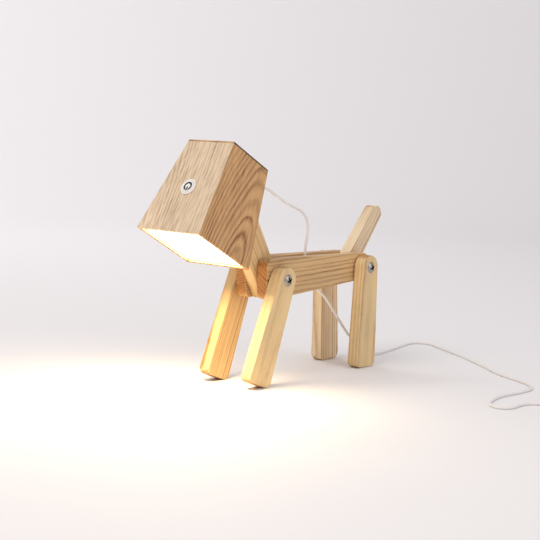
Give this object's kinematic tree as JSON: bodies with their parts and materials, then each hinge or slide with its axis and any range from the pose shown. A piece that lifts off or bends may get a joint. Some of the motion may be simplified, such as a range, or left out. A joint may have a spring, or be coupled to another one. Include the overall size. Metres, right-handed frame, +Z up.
{
  "type": "wooden dog table lamp",
  "caption": "Table lamp shaped like a dog: flat wooden boards turn on two long bolts, and a square tapered wooden head on a hinged neck holds the light and a push switch.",
  "frame": {"origin": "on the floor, under the middle of the lamp's outline from nose to tail and from side to side, without its cord", "axes": "-X is the way the dog looks, -Y is the dog's left, +Z is up; the lamp stands as in the picture"},
  "size_m": [0.6326, 0.489, 0.3347],
  "materials": {
    "rail_wood": "sanded ash, clear matte oil",
    "leg_wood": "sanded ash, clear matte oil",
    "head_wood": "veneered ash board, clear matte lacquer",
    "back_wood": "veneered board with a dark edge, matte",
    "cleat_wood": "raw sawn",
    "nickel": "nickel plated, bright",
    "fibre": "matte",
    "steel": "zinc plated",
    "diffuser_acrylic": "opal, satin",
    "light_plate": "white paint",
    "light_chip": "yellow phosphor",
    "laminate": "solder mask",
    "black_plastic": "moulded",
    "white_plastic": "moulded, satin",
    "cord_white": "soft jacket, satin",
    "lead_red": "soft jacket"
  },
  "bodies": {
    "body": {"left_rail": "rail_wood", "right_rail": "rail_wood", "front_bolt": "nickel", "front_cap_nut": "nickel", "rear_bolt": "nickel", "rear_cap_nut": "nickel", "friction_washers": "fibre", "cord_arch_low": "cord_white", "cord_clip": "white_plastic", "body_cord": "cord_white", "cord_coil": "cord_white", "cord_tie": "black_plastic", "plug_cord": "cord_white", "plug_grip": "cord_white", "plug_shell": "steel", "plug_tongue": "white_plastic"},
    "neck": {"neck": "rail_wood", "cord_arch_high": "cord_white"},
    "head": {"head_top_panel": "head_wood", "head_bottom_panel": "head_wood", "head_left_panel": "head_wood", "head_right_panel": "head_wood", "head_back_panel": "back_wood", "corner_cleats": "cleat_wood", "diffuser": "diffuser_acrylic", "light_carrier": "light_plate", "carrier_screws": "steel", "light_board": "light_plate", "light_chips": "light_chip", "control_board": "laminate", "left_hinge_bracket": "steel", "right_hinge_bracket": "steel", "bracket_screws": "steel", "hinge_bolt": "nickel", "hinge_nut": "nickel", "hinge_washers": "fibre", "switch_housing": "white_plastic", "switch_nut": "fibre", "switch_contact": "black_plastic", "button_spring": "steel", "cord_boot": "cord_white", "inner_lead": "cord_white", "switch_lead": "lead_red"},
    "button": {"button_cap": "white_plastic"},
    "front_left_leg": {"front_left_leg": "leg_wood"},
    "front_right_leg": {"front_right_leg": "leg_wood"},
    "rear_left_leg": {"rear_left_leg": "leg_wood"},
    "rear_right_leg": {"rear_right_leg": "leg_wood"},
    "tail": {"tail": "leg_wood"}
  },
  "joints": [
    {"name": "neck_tilt", "type": "hinge", "parent": "body", "child": "neck", "pos_m": [-0.03986, 0, 0.14536], "axis": [0, 1, 0], "range_deg": [-20, 30], "deforming": ["cord_arch_low"]},
    {"name": "head_nod", "type": "hinge", "parent": "neck", "child": "head", "pos_m": [-0.08503, 0, 0.22204], "axis": [0, 1, 0], "range_deg": [-25, 35], "deforming": ["cord_arch_high"]},
    {"name": "front_left_leg_swing", "type": "hinge", "parent": "body", "child": "front_left_leg", "pos_m": [-0.03986, 0, 0.14536], "axis": [0, 1, 0], "range_deg": [-40, 30]},
    {"name": "front_right_leg_swing", "type": "hinge", "parent": "body", "child": "front_right_leg", "pos_m": [-0.03986, 0, 0.14536], "axis": [0, 1, 0], "range_deg": [-40, 30]},
    {"name": "rear_left_leg_swing", "type": "hinge", "parent": "body", "child": "rear_left_leg", "pos_m": [0.15608, 0, 0.15049], "axis": [0, 1, 0], "range_deg": [-45, 45]},
    {"name": "rear_right_leg_swing", "type": "hinge", "parent": "body", "child": "rear_right_leg", "pos_m": [0.15608, 0, 0.15049], "axis": [0, 1, 0], "range_deg": [-45, 45]},
    {"name": "tail_swing", "type": "hinge", "parent": "body", "child": "tail", "pos_m": [0.15608, 0, 0.15049], "axis": [0, 1, 0], "range_deg": [-35, 35]},
    {"name": "button_press", "type": "slide", "parent": "head", "child": "button", "axis": [0.8255, 0, -0.5644], "range_m": [0, 0.001], "stiffness_N_per_m": 900, "springref_m": -0.001, "deforming": ["button_spring"]}
  ]
}
